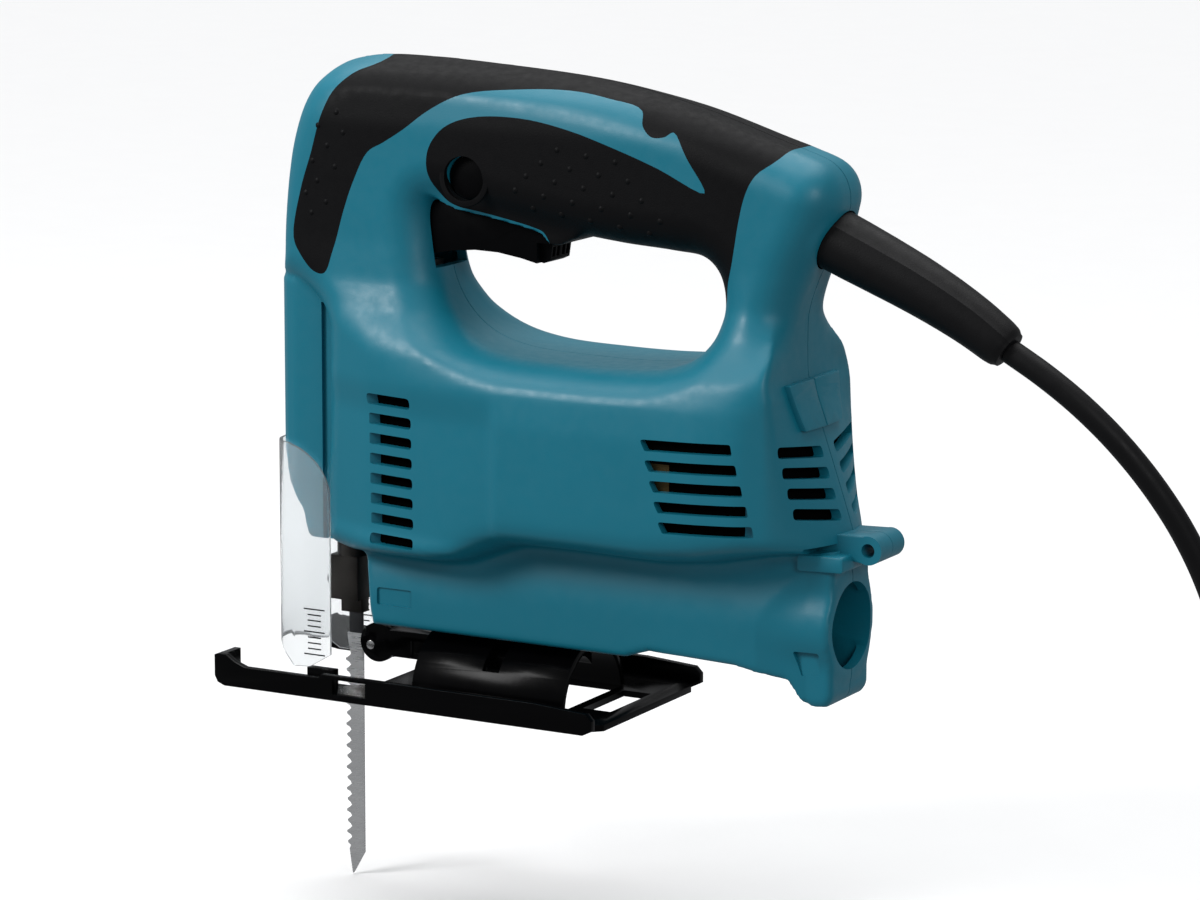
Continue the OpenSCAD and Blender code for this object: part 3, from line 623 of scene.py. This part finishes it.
def make_housing(paint, elastomer):
    pitch = 1.0
    field, low = body_field(pitch)
    outer = solid_at(field, low, pitch)
    seam = box(-60, 240, -60, -0.16, -20, 230)
    near = common(outer, seam)
    coarse, coarse_low = body_field(2.0)
    cavity = solid_at(coarse, coarse_low, 2.0, WALL)
    under_soft = solid_at(field, low, pitch, SOFT_T)
    soft_area = smooth_loop(SOFT_SIDE, 5)
    soft_prism = across(soft_area, -60, 20)
    skin = minus(soft_prism, under_soft)
    grip = common(near, skin)
    shell = plus(minus(minus(near, skin), cavity), key_tube())
    shell = plus(shell, rear_pad(field, low, pitch))
    cuts = shared_cuts() + [across(circle(2.1, 32, *KEY_AT), -14, 14)]
    shell = all_minus(shell, cuts + front_vents() + side_vents() + rear_vents())
    grip = plus(all_minus(grip, [cuts[2]]), grip_dots(field, low, pitch))
    far_shell, far_grip = mirrored(shell), mirrored(grip)
    sleeve = common(across(circle(9, 48, *BUTTON_AT), -40, -9.4), outer)
    hole = across(circle(6.8, 48, *BUTTON_AT), -45, -8)
    shell = minus(plus(shell, minus(sleeve, skin)), hole)
    rim = surface_y(field, low, pitch, *BUTTON_AT)
    lip = across(circle(8.6, 56, *BUTTON_AT), rim - 0.1, rim + 1.2)
    grip = minus(plus(grip, edged(lip, 0.5)), hole)
    for x, z in SCREWS:
        head = 12 if z > 125 else 20
        recess = across(circle(3.7, 32, x, z), head, 45)
        far_shell = minus(far_shell, recess)
        far_grip = minus(far_grip, across(circle(3.7, 32, x, z), 5, 45))
    for shape, name, finish, slot in ((shell, "housing_left", paint, "shell"),
                                      (far_shell, "housing_right", paint, "shell"),
                                      (grip, "grip_left", elastomer, "soft_grip"),
                                      (far_grip, "grip_right", elastomer, "soft_grip")):
        finish_piece(name + "_moulding", scaled_copy(shape), finish, "housing", [name])
    # painted shade: a near-black sheet just inside the vented walls, standing in for the shade inside
    # the vents
    outside = solid_at(coarse, coarse_low, 2.0, WALL + 0.4)
    inside = solid_at(coarse, coarse_low, 2.0, WALL + 1.6)
    shade_liner = common(minus(outside, inside), box(13, 175, -60, -0.3, 47.5, 106))
    for side, shape in (("left", shade_liner), ("right", mirrored(shade_liner))):
        finish_piece("painted_shade_liner_" + side, scaled_copy(shape), MATERIALS["painted_shade_liner"], "housing",
                     ())


# ---------------------------------------------------------------- materials


def material(name, colour, rough, metal=0.0, vary=0.12, grain=2500.0, bump=0.08, streak=None,
             coat=0.0, spread=0.06, clear=0.0, ior=1.5, shine=0.5):
    """A procedural finish: broad colour variation, uneven roughness and a fine grain."""
    mat = bpy.data.materials.new(name)
    mat.use_nodes = True
    tree = mat.node_tree
    nodes, links = tree.nodes, tree.links
    nodes.clear()
    out = nodes.new("ShaderNodeOutputMaterial")
    skin = nodes.new("ShaderNodeBsdfPrincipled")
    links.new(skin.outputs["BSDF"], out.inputs["Surface"])
    skin.inputs["Metallic"].default_value = metal
    skin.inputs["IOR"].default_value = ior
    skin.inputs["Specular IOR Level"].default_value = shine
    skin.inputs["Coat Weight"].default_value = coat
    skin.inputs["Coat Roughness"].default_value = 0.12
    skin.inputs["Transmission Weight"].default_value = clear
    place = nodes.new("ShaderNodeTexCoord")
    turn = nodes.new("ShaderNodeMapping")
    links.new(place.outputs["Object"], turn.inputs["Vector"])
    turn.inputs["Scale"].default_value = streak or (1.0, 1.0, 1.0)

    def noise(scale, detail, vector):
        n = nodes.new("ShaderNodeTexNoise")
        n.inputs["Scale"].default_value = scale
        n.inputs["Detail"].default_value = detail
        links.new(vector, n.inputs["Vector"])
        return n.outputs["Fac"]

    broad = noise(38.0, 3.0, place.outputs["Object"])
    mix = nodes.new("ShaderNodeMix")
    mix.data_type = "RGBA"
    links.new(broad, mix.inputs["Factor"])
    mix.inputs["A"].default_value = tuple(c * (1 - vary) for c in colour) + (1,)
    mix.inputs["B"].default_value = tuple(min(1.0, c * (1 + vary)) for c in colour) + (1,)
    links.new(mix.outputs["Result"], skin.inputs["Base Color"])
    fine = noise(grain, 2.0, turn.outputs["Vector"])
    uneven = noise(grain / 9, 4.0, turn.outputs["Vector"])
    level = nodes.new("ShaderNodeMapRange")
    links.new(uneven, level.inputs["Value"])
    level.inputs["From Min"].default_value = 0.3
    level.inputs["From Max"].default_value = 0.7
    level.inputs["To Min"].default_value = max(0.02, rough - spread)
    level.inputs["To Max"].default_value = min(1.0, rough + spread)
    links.new(level.outputs["Result"], skin.inputs["Roughness"])
    relief = nodes.new("ShaderNodeBump")
    relief.inputs["Strength"].default_value = bump
    relief.inputs["Distance"].default_value = 0.0002
    links.new(fine, relief.inputs["Height"])
    links.new(relief.outputs["Normal"], skin.inputs["Normal"])
    return mat


def make_materials():
    steel = (0.62, 0.62, 0.62)
    return {
        "shell": material("teal_abs", (0.004, 0.163, 0.236), 0.42, bump=0.08, vary=0.05, shine=0.4),
        "soft_grip": material("elastomer", (0.004, 0.004, 0.0045), 0.5, bump=0.25, grain=3500,
                              shine=0.09),
        "black_plastic": material("black_plastic", (0.0015, 0.0015, 0.0018), 0.4, bump=0.12,
                                  shine=0.05),
        # painted shade: near-black, almost unreflecting finish for the sheet behind the vents
        "painted_shade_liner": material("painted_shade_liner", (0.001, 0.001, 0.001), 0.8, bump=0.1, shine=0.02),
        "grey_plastic": material("grey_plastic", (0.2, 0.2, 0.21), 0.45),
        "white_nylon": material("white_nylon", (0.75, 0.75, 0.72), 0.4),
        "black_rubber": material("black_rubber", (0.004, 0.004, 0.0045), 0.48, bump=0.2, shine=0.16),
        "lead_core": material("wire_cover", (0.2, 0.06, 0.02), 0.4),
        "zinc_steel": material("zinc_steel", (0.62, 0.61, 0.56), 0.32, 1.0, grain=1200, bump=0.15),
        "steel": material("ground_steel", steel, 0.22, 1.0, streak=(1, 1, 12), grain=900),
        "bearing_steel": material("bearing_steel", (0.66, 0.66, 0.67), 0.2, 1.0),
        "sintered_steel": material("sintered_steel", (0.4, 0.4, 0.41), 0.5, 1.0, bump=0.4),
        "dark_steel": material("dark_steel", (0.03, 0.028, 0.026), 0.38, 1.0, bump=0.35),
        "blade_tang": material("blade_tang", (0.02, 0.021, 0.024), 0.42, 0.3, bump=0.2),
        "black_oxide": material("black_oxide", (0.04, 0.04, 0.04), 0.35, 1.0, bump=0.2),
        "blade_steel": material("blade_steel", (0.78, 0.78, 0.78), 0.3, 1.0, streak=(1, 1, 14),
                                grain=1000, bump=0.3, spread=0.1),
        "lamination": material("lamination", (0.3, 0.3, 0.31), 0.5, 1.0, streak=(30, 1, 1),
                               grain=400, bump=0.7),
        "cast_aluminium": material("cast_aluminium", (0.6, 0.6, 0.6), 0.5, 1.0, bump=0.5),
        "bronze": material("oiled_bronze", (0.5, 0.33, 0.16), 0.42, 1.0, bump=0.3),
        # painted shade: brass darkened far below its own colour, for the shade it sits in inside the
        # housing
        "brass": material("shade_darkened_brass", (0.09, 0.06, 0.025), 0.5, 1.0),
        "nickel_brass": material("nickel_brass", (0.7, 0.67, 0.6), 0.2, 1.0, bump=0.1),
        "copper": material("turned_copper", (0.72, 0.38, 0.24), 0.3, 1.0),
        "copper_wire": material("enamelled_wire", (0.55, 0.2, 0.06), 0.35, 0.7, streak=(1, 20, 20),
                                grain=300, bump=0.8),
        "carbon": material("carbon", (0.03, 0.03, 0.03), 0.5),
        "black_paint": material("gloss_black_paint", (0.001, 0.001, 0.0012), 0.2, bump=0.05,
                                grain=700, spread=0.05, shine=0.07),
        "clear_polycarbonate": material("clear_polycarbonate", (0.93, 0.95, 0.96), 0.07,
                                        clear=0.9, vary=0.01, bump=0.02, spread=0.04, ior=1.2),
        "floor": material("floor", (0.86, 0.86, 0.86), 0.75, vary=0.01, grain=300, bump=0.02),
    }


MATERIALS = make_materials()


def dress_nodes():
    """The record's slot decides each CAD node's finish."""
    for row in frame["record"]["subparts"]:
        mesh = NODES[row["node"]].data
        mesh.materials.clear()
        mesh.materials.append(MATERIALS[row["material_slot"]])


dress_nodes()

# ---------------------------------------------------------------- the lead
LEAD_ROUTE = [
    (220, 0, 120.6), (231, 0.3, 114.2), (242, 1.5, 106.2), (252.5, 3.8, 96.2),
    (262, 7.2, 84.2), (270, 11.3, 70.6), (276.4, 15.1, 55.5), (281.2, 17.9, 39),
    (284.5, 19, 21.5), (286.9, 19.1, 4), (289.3, 18.8, -13.5), (292.8, 18.6, -30),
    (298.6, 18.8, -44.2), (307.4, 20, -54.8), (318.4, 23.1, -60.6), (329.8, 28.4, LEAD_Z)]
COIL_AT = (363, -3)
COIL_R = 40.15
TAIL_RUN = [(3.4, -2, -0.3), (10.6, -6.1, -2.6), (19, -10.97, -7.6), (27.5, -15.88, -11.9),
            (34.5, -19.92, -12.55)]


def coil_points():
    """Turns beside and on each other; each one changes place a little before the one inside it."""
    spots = [(1, 0), (-1, 0), (-1, 1), (1, 1), (1, 2), (-1, 2), (-1, 3), (1, 3)]
    turns = 7 + 60 / 360
    per_turn = 24
    share = 0.13
    out = []
    for i in range(int(turns * per_turn) + 1):
        t = min(i / per_turn, turns)
        k = min(int(t), 7)
        u = t - k
        begin = 0.85 - 0.14 * k
        f = float(step(begin, begin + share, u)) if k < 7 else 0.0
        a = spots[k]
        b = spots[min(k + 1, 7)]
        side = a[0] + (b[0] - a[0]) * f
        layer = a[1] + (b[1] - a[1]) * f
        angle = math.radians(120 - 360 * t)
        r = COIL_R + side * LEAD_D / 2
        out.append((COIL_AT[0] + r * math.cos(angle), COIL_AT[1] + r * math.sin(angle),
                    LEAD_Z + layer * LEAD_D))
    return out


def smooth_line(points, name, radius):
    """One open Bezier spline through points given in millimetres, set out in metres."""
    data = bpy.data.curves.new(name, "CURVE")
    data.dimensions = "3D"
    data.bevel_depth = radius * MM
    data.bevel_resolution = 5
    data.resolution_u = 6
    data.use_fill_caps = True
    spline = data.splines.new("BEZIER")
    spline.bezier_points.add(len(points) - 1)
    pts = [Vector(p) * MM for p in points]
    for i, knot in enumerate(spline.bezier_points):
        before = pts[max(i - 1, 0)]
        after = pts[min(i + 1, len(pts) - 1)]
        way = (after - before).normalized()
        knot.co = pts[i]
        knot.handle_left_type = knot.handle_right_type = "FREE"
        knot.handle_left = pts[i] - way * (pts[i] - before).length / 3
        knot.handle_right = pts[i] + way * (after - pts[i]).length / 3
    return data, spline


PLUG_AT = Matrix.Translation((419.4, 15.01, -53.0)) @ Matrix.Rotation(math.radians(-30), 4, "Z")


def make_plug():
    """A moulded two-pole plug: rounded sections along the lead, with finger ridges on its sides."""
    table = [(0, 5.3, 5.3, 2.0), (5, 5.3, 5.3, 2.0), (9, 6.2, 6.0, 2.0), (12, 9.0, 7.6, 2.4),
             (15, 12.5, 9.6, 2.8), (20, 15.6, 11.6, 3.2), (26, 17.0, 12.6, 3.6),
             (34, 17.4, 12.9, 4.0), (37, 17.2, 12.7, 4.0), (38, 16.4, 12.0, 4.0)]
    stations = np.concatenate([np.arange(0, 37, 0.75), [37.2, 37.7, 38.0]])
    sides = 64
    verts, faces = [], []
    for x in stations:
        wide, tall, power = (float(np.interp(x, [t[0] for t in table], [t[c] for t in table]))
                             for c in (1, 2, 3))
        ridge = 0.35 * math.sin(x * 2.1) if 13 < x < 33 else 0.0
        for k in range(sides):
            a = 2 * math.pi * k / sides
            c, v = math.cos(a), math.sin(a)
            y = (wide + ridge * abs(c) ** 4) * math.copysign(abs(c) ** (2 / power), c)
            z = tall * math.copysign(abs(v) ** (2 / power), v)
            verts.append(PLUG_AT @ Vector((x, y, z)))
    for i in range(len(stations) - 1):
        for k in range(sides):
            m = (k + 1) % sides
            faces.append([i * sides + k, i * sides + m, (i + 1) * sides + m, (i + 1) * sides + k])
    faces.append(list(range(sides)))
    faces.append(list(range(len(stations) * sides - 1, (len(stations) - 1) * sides - 1, -1)))
    return finish_piece("plug_moulding", scaled_copy(outward(mesh_of(verts, faces))),
                        MATERIALS["black_rubber"], "housing", ["plug_body"], angle=50)


def make_lead():
    tail_start = Vector((COIL_AT[0] + 21.9, COIL_AT[1] + 37.93, LEAD_Z + 3 * LEAD_D))
    tail = [tuple(tail_start + Vector(v)) for v in TAIL_RUN]
    route = LEAD_ROUTE + coil_points() + tail
    data, spline = smooth_line(route, "lead", LEAD_D / 2)
    data.materials.append(MATERIALS["black_rubber"])
    lead = bpy.data.objects.new("lead", data)
    bpy.context.scene.collection.objects.link(lead)
    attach(lead, "housing")
    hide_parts("power_cord", "cord_coil", "cord_tail")
    make_plug()


make_lead()

# ---------------------------------------------------------------- small pieces


def softened(node, body, width):
    """The CAD piece with its edges rounded."""
    mesh = edged(NODES[node].data, width * MM, 1e-6, node)
    slot = next(r["material_slot"] for r in frame["record"]["subparts"] if r["node"] == node)
    finish_piece(node + "_finished", mesh, MATERIALS[slot], body, [node])


make_housing(MATERIALS["shell"], MATERIALS["soft_grip"])

SMALL = [("trigger", "trigger", 0.7), ("lock_button", "lock_button", 0.6),
         ("base_plate", "shoe", 0.55), ("blade_clamp", "plunger", 0.5),
         ("clamp_screw", "clamp_screw", 0.25), ("retainer", "housing", 0.5),
         ("guide_roller", "roller", 0.4), ("roller_pin", "housing", 0.2),
         ("base_bolt", "housing", 0.3), ("housing_screws", "housing", 0.2),
         ("plunger", "plunger", 0.3)]
for node_name, body_name, edge in SMALL:
    softened(node_name, body_name, edge)


def cover_plan(d):
    front = [(-24.7 + d, -3.4), (-24.7 + d, 3.4)]
    right = [(-23.4 + d * 0.7, 8 - d * 0.6), (-20, 12 - d * 0.92), (-14.6, 14.4 - d)]
    return [(x, -y) for x, y in reversed(right)] + front + right


def arc_between(points, steps=5):
    """An open run of points, rounded by a Catmull-Rom curve."""
    pts = [Vector(p) for p in points]
    pts = [2 * pts[0] - pts[1]] + pts + [2 * pts[-1] - pts[-2]]
    out = []
    for i in range(1, len(pts) - 2):
        p0, p1, p2, p3 = pts[i - 1:i + 3]
        for k in range(steps):
            t = k / steps
            out.append(tuple(0.5 * (2 * p1 + (p2 - p0) * t + (2 * p0 - 5 * p1 + 4 * p2 - p3) * t ** 2
                                    + (3 * p1 - p0 - 3 * p2 + p3) * t ** 3)))
    out.append(tuple(pts[-2]))
    return out


def make_cover():
    outer = [(-1.4, -14.4)] + arc_between(cover_plan(0)) + [(-1.4, 14.4)]
    inner = [(5, -13.1)] + arc_between(cover_plan(1.3)) + [(5, 13.1)]
    shape = minus(upright(outer[::-1], 3, 74), upright(inner[::-1], 0, 80))
    low_cut = [(-30, 0), (-30, 13.5), (-26.6, 13), (-15, 3.2), (-9, 3.5), (0.5, 9.2), (1, 0)]
    top_edge = [(-19, 74.5), (-13, 73), (-8, 70), (-4.2, 66), (-1.6, 60.5), (-1, 55)]
    top_cut = [(-19, 77)] + arc_between(top_edge) + [(2, 55), (2, 77)]
    shape = all_minus(shape, [across(low_cut, -20, 20), across(top_cut, -20, 20)])
    finish_piece("cover_clear", scaled_copy(edged(shape, 0.3)), MATERIALS["clear_polycarbonate"],
                 "chip_cover", ["chip_cover"], angle=40)
    marks = []
    for i in range(9):
        z = 7.5 + 1.8 * i
        reach = 3.8 if i % 4 == 0 else 2.4
        for side in (-14.4, 14.4):
            marks.append(box(-7 - reach, -7 + reach, side - 0.1, side + 0.1, z, z + 0.4))
    finish_piece("cover_scale", scaled_copy(joined(marks)), MATERIALS["black_plastic"], "chip_cover",
                 ())


make_cover()


def make_blade():
    """A toothed strip with its teeth set to alternate sides, and a coated tang."""
    pitch_z, count = 3.5, 18
    outline = [(-3.5, 12.6), (-3.5, 11.5), (-3.2, 9.5)]
    for i in range(count):
        z = 6 - i * pitch_z
        outline += [(-2.4, z - 0.4), (-3.1, z - 1.05), (-4.2, z - 1.9), (-4.0, z - 2.5), (-2.9, z - 3.1)]
    outline += [(-3.4, -57.8), (-2.2, -65.7), (2, -58.4), (2, 9.5), (2, 12.6)]
    strip = across(outline[::-1], -0.5, 0.5)
    bm = bmesh.new()
    bm.from_mesh(strip)
    bmesh.ops.triangulate(bm, faces=bm.faces)
    for v in bm.verts:
        if v.co.x < -3.6 and v.co.z < 5:
            side = 1 if round((6 - v.co.z) / pitch_z - 0.6) % 2 else -1
            v.co.y += 0.22 * side
    bm.to_mesh(strip)
    bm.free()
    finish_piece("blade_steel", scaled_copy(strip), MATERIALS["blade_steel"], "plunger", ["blade"],
                 smooth=False)
    tang = across([(-2.9, 12.6), (1.9, 12.6), (1.9, 20), (1.3, 22), (1.3, 34.9), (-2.9, 34.9)],
                  -0.52, 0.52)
    finish_piece("blade_tang", scaled_copy(edged(tang, 0.12)), MATERIALS["blade_tang"], "plunger",
                 ())


make_blade()


def make_guard():
    route = [(162.6, 0, 149.6), (164.9, 0, 148.57), (171, 0, 146), (180, 0, 142.2), (190, 0, 137.8),
             (200, 0, 132.9), (209, 0, 127.9), (216.5, 0, 123), (220, 0, 120.6)]
    line = [Vector(p) for p in arc_between(route, 6)]
    length = [0.0]
    for a, b in zip(line, line[1:]):
        length.append(length[-1] + (b - a).length)
    radii = [float(np.interp(v, [0, 9, 19, 30, 41, 51, 60, 62.5, 64],
                             [9.3, 9.2, 8.9, 8.5, 8, 7.5, 7, 6.6, 5.7])) for v in length]
    rings = [(line[0], radii[0] - 0.9), (line[0] + (line[1] - line[0]) * 0.3, radii[0])]
    rings += list(zip(line[1:-1], radii[1:-1]))
    rings += [(line[-1] + (line[-2] - line[-1]) * 0.25, radii[-1]), (line[-1], radii[-1] - 0.7),
              (line[-1], 3.75)]
    sides = 48
    verts, faces = [], []
    for i, (p, rad) in enumerate(rings):
        j = min(max(i, 1), len(rings) - 2)
        way = (rings[j + 1][0] - rings[j - 1][0]).normalized()
        up = Vector((0, 1, 0)).cross(way).normalized()
        for k in range(sides):
            a = 2 * math.pi * k / sides
            ridge = 0.35 * math.exp(-((math.degrees(a) - 232) / 5) ** 2)
            verts.append(p + (rad + ridge) * (up * math.cos(a) + Vector((0, 1, 0)) * math.sin(a)))
    for i in range(len(rings) - 1):
        for k in range(sides):
            m = (k + 1) % sides
            faces.append([i * sides + k, i * sides + m, (i + 1) * sides + m, (i + 1) * sides + k])
    faces.append(list(range(sides)))
    faces.append(list(range(len(rings) * sides - 1, (len(rings) - 1) * sides - 1, -1)))
    sleeve = outward(mesh_of(verts, faces))
    neck = turned(upright(circle(6.5, 40), -9, 2), EXIT)
    finish_piece("cord_guard_sleeve", scaled_copy(plus(sleeve, neck)), MATERIALS["black_rubber"],
                 "housing", ["cord_guard"])


make_guard()

# ---------------------------------------------------------------- floor and light


def make_studio():
    size = 9.0
    z = (FLOOR_Z - 0.05) * MM
    mesh = bpy.data.meshes.new("floor")
    mesh.from_pydata([(-size, -size, z), (size, -size, z), (size, size, z), (-size, size, z)], [],
                     [(0, 1, 2, 3)])
    mesh.materials.append(MATERIALS["floor"])
    floor = bpy.data.objects.new("floor", mesh)
    bpy.context.scene.collection.objects.link(floor)
    floor.visible_diffuse = False
    floor.visible_glossy = False
    world = bpy.data.worlds.new("studio")
    world.use_nodes = True
    back = world.node_tree.nodes["Background"]
    back.inputs["Color"].default_value = (0.95, 0.97, 1, 1)
    back.inputs["Strength"].default_value = 0.32
    bpy.context.scene.world = world

    def area(name, place, aim, size, power):
        data = bpy.data.lights.new(name, "AREA")
        data.energy = power
        data.size = size
        data.shape = "SQUARE"
        lamp = bpy.data.objects.new(name, data)
        lamp.location = place
        lamp.rotation_euler = (Vector(aim) - Vector(place)).to_track_quat("-Z", "Y").to_euler()
        bpy.context.scene.collection.objects.link(lamp)

    middle = (0.08, 0, 0.08)
    area("key", (-0.55, -0.8, 0.75), middle, 0.4, 9)
    area("fill", (1.1, -0.7, 0.6), middle, 0.4, 3)
    data = bpy.data.lights.new("overhead", "SUN")
    data.energy = 2.6
    data.angle = math.radians(70)
    lamp = bpy.data.objects.new("overhead", data)
    lamp.rotation_euler = (math.radians(-12), math.radians(-10), 0)
    bpy.context.scene.collection.objects.link(lamp)
    bpy.context.scene.view_settings.view_transform = "Standard"


make_studio()
